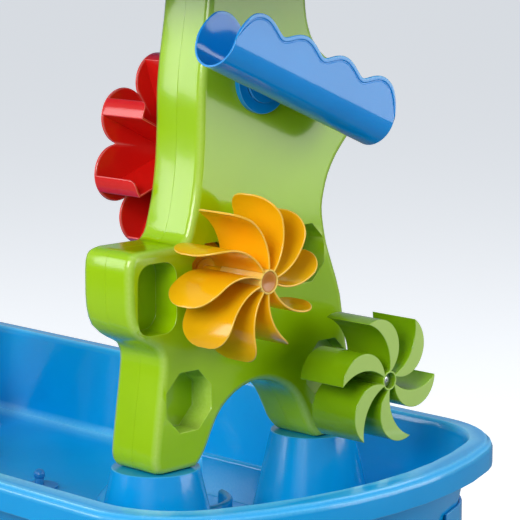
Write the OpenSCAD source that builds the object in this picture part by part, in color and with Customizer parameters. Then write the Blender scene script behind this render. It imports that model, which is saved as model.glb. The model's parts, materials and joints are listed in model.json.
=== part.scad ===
// Water table with a wheel tower at each end of a long tub. Units are millimetres, +Z is up.
// The origin is on the ground under the middle of the tub. X runs across the tub, Y along it.
// The near tower's panel faces -Y. A point on a tower is given from the foot of its front panel:
// across, back from the panel, and up.

/* [Tub] */
// Width of the tub over its rim
tub_w = 524; // [500:2:560]
// Length of the tub over its rim
tub_l = 1070; // [1030:2:1120]
// Depth of the basin below the rim
basin_d = 105; // [90:1:120]
// Width of the rim, seen from above
rim_w = 27; // [24:1:32]
// Drop of the rim's outer apron
apron_h = 28; // [24:1:34]
// Wall of the tub
tub_t = 3; // [2.5:0.1:4]
// Height of the rim above the ground
rim_z = 380; // [340:5:430]
// Radius of the crowned end walls, along the inner edge of the rim
end_r = 430; // [400:5:480]
// Radius of the tub's corners, along the inner edge of the rim
corner_r = 95; // [85:1:105]

/* [Pedestals] */
// Distance from the tub's middle line to a pedestal
pedestal_x = 112; // [104:1:116]
// Radius of a pedestal's flat top
pedestal_r = 44; // [42:0.5:48]
// How much wider a pedestal gets for each millimetre down
pedestal_flare_share = 0.227; // [0.18:0.01:0.26]

/* [Tower] */
// Half of the tower's width, from its middle to the widest side of the pocket
tower_half_w = 176; // [170:1:182]
// Height of the tower
tower_h = 500; // [480:1:520]
// Thickness of the tower, front to back
tower_t = 68; // [64:1:74]
// Wall of the tower's shells
shell_t = 2.5; // [2:0.1:3.2]
// Rounding of the tower's edges
tower_round = 8; // [6:0.5:10]
// Height of the free lower socket
low_socket_z = 69; // [66:0.5:74]
// Distance of the lower sockets from the tower's middle
low_socket_x = 98; // [94:0.5:100]
// Height of the green wheel's socket
green_socket_z = 73; // [71:0.5:76]
// Height of the free middle socket
mid_socket_z = 197; // [190:1:204]
// Height of the orange wheel's socket
orange_socket_z = 193; // [188:1:200]
// Distance of the middle sockets from the tower's middle
mid_socket_x = 63; // [58:0.5:66]
// Height of the top socket
top_socket_z = 380; // [376:1:388]
// Height of the socket in the rear shell
rear_socket_z = 297; // [290:1:304]
// Size of a socket across its flats
socket_af = 60; // [56:0.5:62]
// Depth of a socket
socket_d = 28; // [24:0.5:29]

/* [Tray] */
// Width of the rain tray
tray_w = 330; // [310:2:360]
// Length of the rain tray
tray_l = 944; // [920:2:970]
// Height of the rain tray
tray_h = 60; // [50:1:70]
// How far the tower's top reaches into the tray
tray_seat = 20; // [16:1:24]
// Distance between rain holes
rain_pitch = 45; // [40:1:55]
// Diameter of a rain hole
rain_hole = 5; // [4:0.5:6]

/* [Chute] */
// Length of the chute
chute_l = 239; // [220:1:250]
// Outer radius of the chute's round bottom
chute_r = 27; // [25:0.5:28]
// Height of the scallops above the chute's middle line
scallop_h = 37; // [30:1:40]
// Depth of the dips between scallops
scallop_dip = 11; // [6:1:14]
// Slope of the chute at rest
chute_tilt = 22.5; // [20:0.5:25]
// Diameter of the round plate behind the chute
chute_plate_d = 70; // [69:1:76]

/* [Orange wheel] */
// Outer radius of the orange wheel
orange_r = 82; // [76:1:84]
// Depth of the orange wheel
orange_d = 58; // [50:1:60]
// Number of vanes
orange_vanes = 10; // [8:1:12]
// Thickness of a vane
vane_t = 2; // [1.6:0.1:2.6]
// How far a vane reaches back past the hub
vane_tail = 9.4; // [4:0.2:11]

/* [Green wheel] */
// Outer radius of the green wheel
green_r = 69.5; // [66:0.5:71]
// Depth of the green wheel
green_d = 59; // [50:1:60]
// Number of buckets
green_buckets = 6; // [5:1:6]

/* [Red wheel] */
// Outer radius of the red wheel
red_r = 104; // [98:1:106]
// Depth of the red wheel
red_d = 62; // [56:1:66]
// Number of cups
red_cups = 8; // [7:1:8]

/* [Hidden] */

$fn = 64;
cut = 1;                 // overrun of a cutting shape
fit = 0.3;               // gap between pieces that are put together by hand
run = 0.08;              // radial gap of a shaft in its bore
side_gap = 0.5;          // gap beside a turning piece

blue = "#1f7fe0";
lime = "#9ed62e";
orange = "#ff8a1c";
red = "#e3172a";
steel = "#b9bec4";

half_w = tub_w / 2 - rim_w;                 // inner edge of the rim, across
half_l = tub_l / 2 - rim_w;                 // inner edge of the rim, along
foot_z = rim_z;                             // the towers stand level with the rim
end_clear = 157;                            // from the rim's inner edge to a tower's panel
tower_y = -(half_l - end_clear);            // front panel of the near tower
mid_y = tower_t / 2;                        // from the panel to the tower's middle

// Points on a circle
function arc_pts(c, r, a0, a1, n) =
    [for (i = [0:n]) let (a = a0 + (a1 - a0) * i / n) [c[0] + r * cos(a), c[1] + r * sin(a)]];

// The tub's outline, moved outwards by d from the rim's inner edge
corner_x = half_w - corner_r;
end_cy = half_l - end_r;
corner_y = end_cy + sqrt(pow(end_r - corner_r, 2) - corner_x * corner_x);
corner_a = atan2(corner_y - end_cy, corner_x);
corner_steps = 8;
end_steps = 8;
function quarter(d) = arc_pts([corner_x, corner_y], corner_r + d, 0, corner_a, corner_steps);
function crown(d) = arc_pts([0, end_cy], end_r + d, corner_a, 180 - corner_a, end_steps);
function trim(p) = [for (i = [1:len(p) - 2]) p[i]];
function flip_x(p) = [for (i = [len(p) - 1:-1:0]) [-p[i][0], p[i][1]]];
function half_outline(d) = concat(quarter(d), trim(crown(d)), flip_x(quarter(d)));
function tub_outline(d) = concat(half_outline(d), [for (p = half_outline(d)) [-p[0], -p[1]]]);

// A closed solid through rings of points that all have the same count
module loft(rings) {
    n = len(rings[0]);
    pts = [for (r = rings) each r];
    sides = [for (k = [0:len(rings) - 2]) for (i = [0:n - 1]) let (j = (i + 1) % n)
        each [[k * n + i, (k + 1) * n + j, k * n + j], [k * n + i, (k + 1) * n + i, (k + 1) * n + j]]];
    first = [for (i = [0:n - 1]) i];
    last = [for (i = [n - 1:-1:0]) (len(rings) - 1) * n + i];
    polyhedron(points = pts, faces = concat([first], sides, [last]), convexity = 10);
}

// The tub's section: outwards from the rim's inner edge, and up from the rim
draft = 15;                                 // how far the wall leans in over its height
floor_round = 12;
lip = 4;
rim_step = 3;
skirt_in = rim_w - tub_t;
tub_section = [
    [-draft - 2 * floor_round, -basin_d - tub_t],
    [-draft - floor_round / 3, -basin_d - tub_t / 2],
    [-draft + tub_t, -basin_d + floor_round],
    [tub_t, -2 * lip - tub_t],
    [lip + 1, -lip - tub_t],
    [skirt_in - tub_t, -lip - tub_t],
    [skirt_in, -2 * lip - tub_t],
    [skirt_in, -apron_h],
    [rim_w, -apron_h],
    [rim_w, -2 * lip - rim_step / 2],
    [rim_w - rim_step / 2, -lip - rim_step / 2],
    [skirt_in - rim_step / 2, -lip],
    [skirt_in - rim_step, -rim_step / 2],
    [skirt_in - 2 * rim_step, -rim_step / 5],
    [lip - 1, 0],
    [0, -lip + 1],
    [-rim_step / 2, -2 * lip],
    [-draft, -basin_d + floor_round],
    [-draft - floor_round / 2, -basin_d + floor_round / 4],
    [-draft - 2 * floor_round, -basin_d]];

// Places on the near tower, and the same place turned half round for the far one
module near_end() { translate([0, tower_y, foot_z]) children(); }
module far_end() { rotate([0, 0, 180]) near_end() children(); }
module both_ends() { near_end() children(); far_end() children(); }

pedestal_base_r = pedestal_r + basin_d * pedestal_flare_share;
drain_r = 15;
drain_rim = 4;
ridge_w = 8;
ridge_gap = 60;                             // from the rim down to the top of the lane ridges
ridge_x = 124;
ridge_l = 144;
curl_c = [-20, 95];                         // middle of the curved ridge, from the foot of the panel
curl_r = 49;
curl_a0 = 205;
curl_sweep = 145;
island_c = [-4, 179];
island_r = 52;

module pedestal_form(inset) {
    translate([0, mid_y, -basin_d - tub_t - cut])
        cylinder(h = basin_d + tub_t + cut - inset,
            r1 = pedestal_base_r + (tub_t + cut) * pedestal_flare_share - inset,
            r2 = pedestal_r + (inset * pedestal_flare_share) - inset, $fn = 96);
}

module at_pedestals() {
    for (s = [-1, 1]) translate([s * pedestal_x, 0, 0]) children();
}

foot_screw_r = 2;
foot_boss_r = 5;
foot_boss_h = 24;
foot_screw_in = tower_t / 4;                // from the panel to the first foot screw

module at_foot_screws() {
    at_pedestals() for (y = [foot_screw_in, tower_t - foot_screw_in]) translate([0, y, 0]) children();
}

// Lane ridges and a round island moulded in the basin's floor
module lanes() {
    ridge_h = basin_d + tub_t / 2 - ridge_gap - ridge_w / 2;
    translate([ridge_x, tower_t, -basin_d - tub_t / 2]) {
        translate([-ridge_w / 2, 0, 0]) cube([ridge_w, ridge_l, ridge_h]);
        translate([0, 0, ridge_h]) rotate([-90, 0, 0]) cylinder(h = ridge_l, d = ridge_w);
    }
    translate([curl_c[0], curl_c[1], -basin_d - tub_t / 2]) rotate([0, 0, curl_a0])
        rotate_extrude(angle = curl_sweep) translate([curl_r, 0]) {
            translate([-ridge_w / 2, 0]) square([ridge_w, ridge_h]);
            translate([0, ridge_h]) circle(d = ridge_w);
        }
    translate([island_c[0], island_c[1], -basin_d - tub_t / 2]) intersection() {
        sphere(r = island_r);
        translate([-island_r, -island_r, 0]) cube(2 * island_r);
    }
}

module tub() {
    color(blue) difference() {
        union() {
            loft([for (s = tub_section) [for (p = tub_outline(s[0])) [p[0], p[1], rim_z + s[1]]]]);
            both_ends() at_pedestals() intersection() {
                pedestal_form(0);
                translate([-tub_w, -tub_w, -basin_d - tub_t]) cube([2 * tub_w, 2 * tub_w, tub_w]);
            }
            both_ends() lanes();
            translate([0, 0, rim_z - basin_d - tub_t])
                cylinder(h = tub_t + drain_rim / 2, r = drain_r + drain_rim);
            at_leg_bosses() translate([0, 0, leg_top_z - leg_boss_h])
                cylinder(h = leg_boss_h + tub_t / 2, r = leg_boss_r);
        }
        at_leg_bosses() translate([0, 0, leg_top_z - leg_boss_h - cut])
            cylinder(h = leg_boss_h + cut, r = leg_screw_r + run);
        both_ends() at_pedestals() pedestal_form(tub_t);
        both_ends() at_foot_screws() translate([0, 0, -tub_t - cut])
            cylinder(h = tub_t + 2 * cut, r = foot_screw_r + fit);
        translate([0, 0, rim_z - basin_d - tub_t - cut])
            cylinder(h = tub_t + drain_rim + 2 * cut, r = drain_r);
    }
}

// The plug drops into the drain hole from inside the basin
plug_flange = 6;
plug_t = 3;
plug_stem_h = 12;
plug_knob_r = 5;
plug_knob_h = 12;
module drain_plug() {
    seat_z = rim_z - basin_d + drain_rim / 2;
    color(blue) difference() {
        union() {
            translate([0, 0, seat_z]) cylinder(h = plug_t, r = drain_r + plug_flange);
            translate([0, 0, seat_z - plug_stem_h]) cylinder(h = plug_stem_h, r = drain_r - run);
            translate([0, 0, seat_z + plug_t]) cylinder(h = plug_knob_h, r = plug_knob_r);
            translate([0, 0, seat_z + plug_t + plug_knob_h]) sphere(r = plug_knob_r + plug_t / 2);
        }
        translate([0, 0, seat_z - plug_stem_h - cut])
            cylinder(h = plug_stem_h + cut, r = drain_r - plug_t);
    }
}

// A leg follows the tub's corner outside and is square inside. It is a moulded post with open
// ends, and a plate across it near the top that takes two screws into bosses under the tub.
leg_in = 78;                                // size of a leg from the corner's outer face inwards
leg_t = 3;
leg_top_z = rim_z - basin_d - tub_t;        // the leg carries the floor here
leg_collar_h = 40;                          // the outer wall rises beside the tub
leg_boss_h = 12;
leg_boss_r = 6;
leg_boss_angles = [25, 53];                 // directions of the bosses from the corner's centre
leg_boss_c = corner_r - draft - 2 * floor_round - tub_t;
leg_screw_r = 2;
leg_a = corner_a / 2;                       // direction of the leg's middle from the corner's centre
wall_lean = draft / (basin_d - floor_round - 2 * lip - tub_t);
// Inner face of the collar, from the rim's inner edge: clear of the wall at the collar's top
leg_d = -draft + tub_t + wall_lean * (leg_collar_h - tub_t - floor_round) + fit;

module at_corners() {
    for (sx = [0, 1]) for (sy = [0, 1]) mirror([sx, 0, 0]) mirror([0, sy, 0]) children();
}
module at_boss_pair() {
    for (a = leg_boss_angles)
        translate([corner_x + leg_boss_c * cos(a), corner_y + leg_boss_c * sin(a), 0]) children();
}
module at_leg_bosses() { at_corners() at_boss_pair() children(); }

module leg_plan(inset) {
    intersection() {
        polygon(tub_outline(leg_d + leg_t - inset));
        translate([half_w - draft - leg_in + inset, corner_y + corner_r * sin(leg_a) - leg_in / 2 + inset])
            square(2 * leg_in);
    }
}

module leg() {
    plate_z = leg_top_z - leg_boss_h - leg_t;
    difference() {
        linear_extrude(leg_top_z + leg_collar_h) leg_plan(0);
        translate([0, 0, -cut]) linear_extrude(plate_z + cut) leg_plan(leg_t);
        translate([0, 0, plate_z + leg_t]) linear_extrude(leg_top_z) leg_plan(leg_t);
        translate([0, 0, leg_top_z]) linear_extrude(leg_collar_h + cut) polygon(tub_outline(leg_d));
        at_boss_pair() translate([0, 0, plate_z - cut])
            cylinder(h = leg_t + 2 * cut, r = leg_screw_r + fit);
    }
}

module leg_at(sx, sy) {
    color(blue) mirror([sx < 0 ? 1 : 0, 0, 0]) mirror([0, sy < 0 ? 1 : 0, 0]) leg();
}
module leg_front_left() { leg_at(-1, -1); }
module leg_front_right() { leg_at(1, -1); }
module leg_rear_left() { leg_at(-1, 1); }
module leg_rear_right() { leg_at(1, 1); }

// The tower's outline as shares of its half width and its height, clockwise from the top left
outline_shares = [
    [-0.27, 1], [-0.335, 0.995], [-0.369, 0.975], [-0.378, 0.94], [-0.398, 0.88], [-0.432, 0.81],
    [-0.455, 0.74], [-0.46, 0.67], [-0.472, 0.6], [-0.5, 0.536], [-0.535, 0.488], [-0.562, 0.462],
    [-0.61, 0.448], [-0.905, 0.448], [-0.965, 0.442], [-0.995, 0.422], [-1, 0.38], [-0.994, 0.33],
    [-0.955, 0.29], [-0.864, 0.266], [-0.79, 0.252], [-0.75, 0.23], [-0.756, 0.19], [-0.784, 0.12],
    [-0.812, 0.05], [-0.815, 0.024], [-0.793, 0.006], [-0.744, 0], [-0.506, 0],
    [-0.466, 0.009], [-0.42, 0.028], [-0.375, 0.058], [-0.318, 0.093], [-0.239, 0.12], [-0.125, 0.14],
    [0, 0.147],
    [0.125, 0.14], [0.239, 0.12], [0.318, 0.093], [0.375, 0.058], [0.42, 0.028], [0.466, 0.009],
    [0.506, 0], [0.744, 0], [0.793, 0.006], [0.815, 0.024], [0.812, 0.05], [0.784, 0.12],
    [0.739, 0.2], [0.693, 0.296], [0.625, 0.362], [0.574, 0.408], [0.545, 0.45], [0.534, 0.484],
    [0.551, 0.516], [0.585, 0.55], [0.653, 0.588], [0.75, 0.624], [0.818, 0.65], [0.864, 0.684],
    [0.858, 0.72], [0.795, 0.752], [0.682, 0.774], [0.557, 0.794], [0.466, 0.822], [0.415, 0.856],
    [0.392, 0.892], [0.381, 0.94], [0.369, 0.975], [0.335, 0.995], [0.27, 1]];
outline_steps = 2;                          // curve points for each listed point

function curve_pt(a, b, c, d, t) = 0.5 * (2 * b + (c - a) * t + (2 * a - 5 * b + 4 * c - d) * t * t
    + (3 * b - a - 3 * c + d) * t * t * t);
// A level stretch stays straight: a curve that meets it starts or ends level
function past_end(q, b, c) = q[1] == b[1] ? [b[0] + sign(q[0] - b[0]) * abs(c[0] - b[0]), b[1]] : q;
function closed_curve(p, m) = let (n = len(p)) [for (i = [0:n - 1])
    let (a = p[(i + n - 1) % n], b = p[i], c = p[(i + 1) % n], d = p[(i + 2) % n])
    for (k = [0:b[1] == c[1] ? 0 : m - 1]) curve_pt(past_end(a, b, c), b, c, past_end(d, c, b), k / m)];
tower_curve = closed_curve([for (s = outline_shares) [s[0] * tower_half_w, s[1] * tower_h]], outline_steps);
// The same outline moved inwards by d, point by point
function unit(v) = v / norm(v);
function moved_in(p, d) = let (n = len(p)) [for (i = [0:n - 1])
    let (u = unit(p[(i + 1) % n] - p[(i + n - 1) % n])) [p[i][0] - u[1] * d, p[i][1] + u[0] * d]];
function tower_ring(d, y) = let (q = moved_in(tower_curve, d))
    [for (i = [len(q) - 1:-1:0]) [q[i][0], y, q[i][1]]];

// One half of the tower: a moulded shell with rounded edges, open at the middle plane
soft_share = 0.29;
module half_shell() {
    soft = tower_round * soft_share;
    loft([tower_ring(tower_round, 0), tower_ring(soft, soft),
        tower_ring(0, tower_round), tower_ring(0, mid_y), tower_ring(shell_t, mid_y),
        tower_ring(shell_t, tower_round), tower_ring(tower_round, shell_t)]);
}
module rear_half() { translate([0, tower_t, 0]) mirror([0, 1, 0]) half_shell(); }

// A shell's soft edges, sockets and bosses are joined as one mesh of this many facets a circle
shell_facets = 20;
module one_mesh() { resize([0, 0, 0]) children(); }

// An octagon with flat top and bottom, extruded backwards from y = 0
octagon_a = 22.5;
module octagon(af, depth) {
    rotate([-90, 0, 0]) rotate([0, 0, octagon_a]) cylinder(h = depth, d = af / cos(octagon_a), $fn = 8);
}
module rod_y(r, depth) { rotate([-90, 0, 0]) cylinder(h = depth, r = r); }

front_sockets = [[-low_socket_x, low_socket_z], [low_socket_x, green_socket_z],
    [-mid_socket_x, orange_socket_z], [mid_socket_x, mid_socket_z], [0, top_socket_z]];
rear_sockets = [[0, rear_socket_z]];
module at_sockets(list) { for (s = list) translate([s[0], 0, s[1]]) children(); }
module socket_cup() {
    translate([0, shell_t / 2, 0]) octagon(socket_af + 2 * shell_t, socket_d + shell_t / 2);
}
module socket_hole() { translate([0, -cut, 0]) octagon(socket_af, socket_d + cut); }

// Screws that hold the two shells together, at places clear of the sockets
screw_r = 2;
screw_head_r = 4;
screw_head_h = 2.5;
boss_r = 5;
boss_well_d = 12;                           // depth of the well that a screw's head sits in
tower_screw_shares = [[-0.28, 0.925], [0.28, 0.925], [-0.35, 0.68], [0.35, 0.5], [-0.645, 0.24], [0.6, 0.24]];
module at_tower_screws() {
    for (s = tower_screw_shares) translate([s[0] * tower_half_w, 0, s[1] * tower_h]) children();
}

// The pocket in the tower's left side, a round-cornered hollow that faces forwards
pocket_w = 50;
pocket_h = 70;
pocket_d = 30;
pocket_round = 16;
pocket_x = -tower_half_w + pocket_w / 2 + 12;
pocket_z = tower_h * 0.352;
module pocket_form(grow, depth) {
    translate([pocket_x, 0, pocket_z]) rotate([-90, 0, 0]) linear_extrude(depth + grow) union() {
        square([pocket_w - 2 * pocket_round, pocket_h + 2 * grow], center = true);
        square([pocket_w + 2 * grow, pocket_h - 2 * pocket_round], center = true);
        for (x = [-1, 1]) for (z = [-1, 1])
            translate([x * (pocket_w / 2 - pocket_round), z * (pocket_h / 2 - pocket_round)])
                circle(r = pocket_round + grow);
    }
}

module front_body() {
    $fn = shell_facets;
    difference() {
        union() {
            half_shell();
            at_sockets(front_sockets) socket_cup();
            translate([0, shell_t / 2, 0]) pocket_form(shell_t, pocket_d - shell_t / 2);
            at_tower_screws() translate([0, shell_t / 2, 0]) rod_y(boss_r, mid_y - shell_t / 2);
            at_foot_screws_front() translate([0, 0, shell_t / 2]) cylinder(h = foot_boss_h, r = foot_boss_r);
        }
        at_sockets(front_sockets) socket_hole();
        translate([0, -cut, 0]) pocket_form(0, pocket_d + cut);
    }
}
module front_shell() {
    difference() {
        one_mesh() front_body();
        at_tower_screws() translate([0, 2 * shell_t, 0]) rod_y(screw_r + run, mid_y);
        at_foot_screws_front() translate([0, 0, -cut]) cylinder(h = foot_boss_h, r = foot_screw_r + run);
    }
}
module at_foot_screws_front() { at_pedestals() translate([0, foot_screw_in, 0]) children(); }
module at_foot_screws_rear() { at_pedestals() translate([0, tower_t - foot_screw_in, 0]) children(); }

well_r = screw_head_r + 1;
module rear_body() {
    $fn = shell_facets;
    difference() {
        union() {
            rear_half();
            translate([0, tower_t, 0]) mirror([0, 1, 0]) at_sockets(rear_sockets) socket_cup();
            at_tower_screws() translate([0, mid_y, 0]) rod_y(well_r + shell_t, mid_y - shell_t / 2);
            at_foot_screws_rear() translate([0, 0, shell_t / 2]) cylinder(h = foot_boss_h, r = foot_boss_r);
        }
        translate([0, tower_t, 0]) mirror([0, 1, 0]) at_sockets(rear_sockets) socket_hole();
        at_tower_screws() translate([0, tower_t - boss_well_d, 0]) rod_y(well_r, boss_well_d + cut);
    }
}
module rear_shell() {
    difference() {
        one_mesh() rear_body();
        at_tower_screws() translate([0, mid_y - cut, 0]) rod_y(screw_r + run, mid_y);
        at_foot_screws_rear() translate([0, 0, -cut]) cylinder(h = foot_boss_h, r = foot_screw_r + run);
    }
}

module tower_front_shell() { color(lime) near_end() front_shell(); }
module tower_rear_shell() { color(lime) near_end() rear_shell(); }
module far_tower_front_shell() { color(lime) far_end() front_shell(); }
module far_tower_rear_shell() { color(lime) far_end() rear_shell(); }

// Shell screws come in from the back, foot screws up through the pedestals
screw_in = 24;
drive_r = 1.4;
module screw(reach) {
    difference() {
        union() {
            cylinder(h = reach, r = screw_r);
            translate([0, 0, -screw_head_h]) cylinder(h = screw_head_h, r = screw_head_r);
        }
        translate([0, 0, -screw_head_h - cut]) cylinder(h = screw_head_h / 2 + cut, r = drive_r);
    }
}
module screw_set() {
    at_tower_screws() translate([0, tower_t - boss_well_d, 0]) rotate([90, 0, 0])
        screw(tower_t - boss_well_d - mid_y + screw_in);
    at_foot_screws() translate([0, 0, -tub_t]) screw(foot_boss_h - tub_t);
}
module tower_screws() { color(steel) near_end() screw_set(); }
module far_tower_screws() { color(steel) far_end() screw_set(); }

// The rain tray rests on the tower's shoulders: its floor has a raised cap over each tower's top
tray_t = 3;
tray_z = foot_z + tower_h - tray_seat - tray_t;
cap_share = 0.38;                           // the tower's top, as a share of its widest half
cap_w = 2 * tower_half_w * cap_share;
cap_round = 10;
tray_round = 50;
module slab(w, l, r) {
    square([w - 2 * r, l], center = true);
    square([w, l - 2 * r], center = true);
    for (x = [-1, 1]) for (y = [-1, 1]) translate([x * (w / 2 - r), y * (l / 2 - r)]) circle(r = r);
}
hole_rows = floor((tray_w / 2 - tray_round) / rain_pitch);
hole_cols = floor((tray_l / 2 - tray_round) / rain_pitch);
module rain_tray() {
    cap_gap = 2 * fit;
    grip_w = 6;
    color(blue) difference() {
        union() {
            difference() {
                translate([0, 0, tray_z]) linear_extrude(tray_h) slab(tray_w, tray_l, tray_round);
                translate([0, 0, tray_z + tray_t])
                    linear_extrude(tray_h) slab(tray_w - 2 * tray_t, tray_l - 2 * tray_t, tray_round - tray_t);
            }
            translate([0, 0, tray_z + tray_h - grip_w]) linear_extrude(grip_w) difference() {
                slab(tray_w, tray_l, tray_round);
                slab(tray_w - 4 * tray_t, tray_l - 4 * tray_t, tray_round - 2 * tray_t);
            }
            both_ends() translate([0, mid_y, tray_z - foot_z + cut / 2])
                linear_extrude(tray_seat + 2 * tray_t - cut / 2)
                    slab(cap_w + 2 * tray_t + cap_gap, tower_t + 2 * tray_t + cap_gap, cap_round);
        }
        both_ends() translate([0, mid_y, tray_z - foot_z - cut])
            linear_extrude(tray_seat + tray_t + cut)
                slab(cap_w + cap_gap, tower_t + cap_gap, cap_round - tray_t);
        for (i = [-hole_rows:hole_rows]) for (j = [-hole_cols:hole_cols])
            if (abs(j * rain_pitch) < abs(tower_y) - tower_t - rain_hole)
                translate([i * rain_pitch, j * rain_pitch, tray_z - cut])
                    cylinder(h = tray_t + 2 * cut, d = rain_hole, $fn = 24);
        both_ends() translate([0, chute_y, tray_z - foot_z - cut])
            cylinder(h = tray_t + 2 * cut, d = rain_hole, $fn = 24);
    }
}

// Chute: a round-bottomed trough with scalloped walls, on a spindle behind its middle
chute_y = -52;
chute_t = 2.5;
scallops = 4;
plate_t = 6;
plate_ring = 3;
spindle_r = 7;
neck_r = 15;
stop_r = 19;
stop_pin_r = 2.5;
stop_half_a = 6;
chute_swing = 2 * chute_tilt;
wall_steps = 48;
dip_soft_share = 0.07;                      // how round the dips are
function bump(s) = let (k = dip_soft_share, w = sin(180 * scallops * s))
    scallop_h - scallop_dip * (1 - (sqrt(w * w + k) - sqrt(k)) / (sqrt(1 + k) - sqrt(k)));
function end_fall(s) = min(1, sqrt(max(0, 1 - pow(1 - min(s, 1 - s) / 0.07, 2))) + (min(s, 1 - s) > 0.07 ? 1 : 0));
module trough_plan(r, h) {
    circle(r = r);
    translate([-r, 0]) square([2 * r, h]);
}
// The trough's section along its length, cut to the scalloped line of its walls
module trough() {
    low = -chute_r - cut;
    intersection() {
        rotate([90, 0, 90]) linear_extrude(chute_l, center = true) difference() {
            trough_plan(chute_r, scallop_h);
            trough_plan(chute_r - chute_t, scallop_h + cut);
        }
        translate([0, chute_r + cut, 0]) rotate([90, 0, 0]) linear_extrude(2 * (chute_r + cut)) polygon(concat(
            [[-chute_l / 2, low]],
            [for (i = [0:wall_steps]) let (s = i / wall_steps)
                [(s - 0.5) * chute_l, chute_t / 2 + end_fall(s) * (bump(s) - chute_t / 2)]],
            [[chute_l / 2, low]]));
    }
}
plug_wall = 2.4;
plug_gap = 0.1;                             // gap between a plug and its socket
plug_af = socket_af - 2 * plug_gap;
plug_depth = socket_d - 2 * fit;
plug_base = 4;
module at_chute() { near_end() translate([0, 0, top_socket_z]) children(); }
chute_gap = 0.4;
module chute() {
    neck_y = -plate_t - chute_gap;
    color(blue) at_chute() rotate([0, chute_tilt, 0]) {
        difference() {
            union() {
                translate([0, chute_y, 0]) trough();
                translate([0, chute_y + chute_r - chute_t, 0])
                    rod_y(neck_r, neck_y - chute_y - chute_r + chute_t);
                translate([0, neck_y - cut, 0]) rod_y(spindle_r, plug_base + plate_t + cut + 2 * chute_gap);
                translate([0, neck_y - chute_t, -stop_r]) rod_y(stop_pin_r, chute_t + plate_ring);
                translate([0, neck_y - chute_t, 0]) rod_y(stop_r + 2 * stop_pin_r, chute_t);
            }
            translate([0, neck_y - 2 * cut, 0]) rod_y(screw_r + run, plug_base + plate_t + 4 * cut);
        }
    }
}

module chute_mount() {
    stop_w = 3;
    color(blue) at_chute() difference() {
        union() {
            difference() {
                octagon(plug_af, plug_depth);
                translate([0, plug_base, 0]) octagon(plug_af - 2 * plug_wall, plug_depth);
            }
            translate([0, -plate_t, 0]) rod_y(chute_plate_d / 2, plate_t);
        }
        translate([0, -plate_t - cut, 0]) rod_y(spindle_r + run, plate_t + plug_base + 2 * cut);
        translate([0, -plate_t - cut, 0]) difference() {
            rod_y(stop_r + 2 * stop_pin_r, plate_ring + cut + chute_gap);
            translate([0, -cut, 0]) rod_y(stop_r - 2 * stop_pin_r, plate_ring + 4 * cut);
            rotate([0, chute_tilt + stop_half_a, 0]) translate([0, 0, -chute_plate_d])
                translate([-stop_w - stop_pin_r, -cut, 0]) cube([stop_w, plate_ring + 4 * cut, chute_plate_d]);
            rotate([0, chute_tilt - chute_swing - stop_half_a, 0]) translate([0, 0, -chute_plate_d])
                translate([stop_pin_r, -cut, 0]) cube([stop_w, plate_ring + 4 * cut, chute_plate_d]);
        }
    }
}

// A screw with a washer keeps a spindle or an axle in its bore
washer_t = 1.5;
module keeper(washer_r, reach) {
    difference() {
        union() {
            rod_y(screw_r, reach);
            translate([0, -washer_t, 0]) rod_y(washer_r, washer_t);
            translate([0, -washer_t - screw_head_h, 0]) rod_y(screw_head_r, screw_head_h);
        }
        translate([0, -washer_t - screw_head_h - cut, 0]) rod_y(drive_r, screw_head_h / 2 + cut);
    }
}
module chute_screw() {
    color(steel) at_chute() translate([0, plug_base + chute_gap, 0]) mirror([0, 1, 0])
        keeper(spindle_r + plug_wall, plug_base + plate_t);
}

// Wheel mounts: an octagonal plug at the bottom of a socket, with an axle that reaches forward
mount_plug_d = 12;
sleeve_wall = 1.5;                          // step from the thick part of the axle to the thin one
axle_r = 4.5;
green_axle_r = 3.5;
module wheel_mount(r, back, depth) {
    plug_y = socket_d - mount_plug_d;
    reach = axle_reach(back, depth);
    difference() {
        union() {
            translate([0, plug_y, 0]) difference() {
                octagon(plug_af, mount_plug_d);
                translate([0, plug_base, 0]) octagon(plug_af - 2 * plug_wall, mount_plug_d);
            }
            translate([0, -reach, 0]) rod_y(r, reach + plug_y + plug_base);
            translate([0, -back + side_gap, 0]) rod_y(r + sleeve_wall, back - side_gap + plug_y + cut);
            translate([0, plug_y - plug_base, 0]) rod_y(2 * (r + sleeve_wall), plug_base + cut);
        }
        translate([0, -reach - cut, 0]) rod_y(screw_r + run, screw_in + 2 * cut);
    }
}

orange_back = 18;                           // from the panel to the back of the orange wheel
green_back = 29;
red_back = 4;
hub_r = 12.3;
green_hub_r = 10;
red_hub_r = 13;
cap_depth = 1;                              // the cap's face lies this far inside the hub's ring
cap_t = 2;
hub_rim = 2;
head_room = 9;                              // room in the hub for the screw and its washer
shoulder_t = 3;
sleeve_t = 2;

module at_orange() { near_end() translate([-mid_socket_x, 0, orange_socket_z]) children(); }
module at_green() { near_end() translate([low_socket_x, 0, green_socket_z]) children(); }
module at_red() {
    near_end() translate([0, tower_t, rear_socket_z]) mirror([0, 1, 0]) children();
}
// The axle ends just in front of the shoulder that its washer holds
function axle_reach(back, depth) = back + depth - head_room + side_gap;

// What is hollow in a hub: the room in front of its shoulder, the bore, and the space round the
// axle's sleeve, which is open behind
module hub_hollows(back, depth, outer, axle) {
    translate([0, -back - depth, 0]) {
        translate([0, -cut, 0]) rod_y(outer - hub_rim, head_room + cut);
        translate([0, head_room - cut, 0]) rod_y(axle + run, depth);
        translate([0, head_room + shoulder_t, 0]) difference() {
            rod_y(outer - hub_rim, depth);
            translate([0, -cut, 0]) rod_y(axle + run + sleeve_t, depth + 2 * cut);
        }
    }
}
module hub(back, depth, outer, axle) {
    difference() {
        translate([0, -back - depth, 0]) rod_y(outer, depth);
        hub_hollows(back, depth, outer, axle);
    }
}

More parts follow.
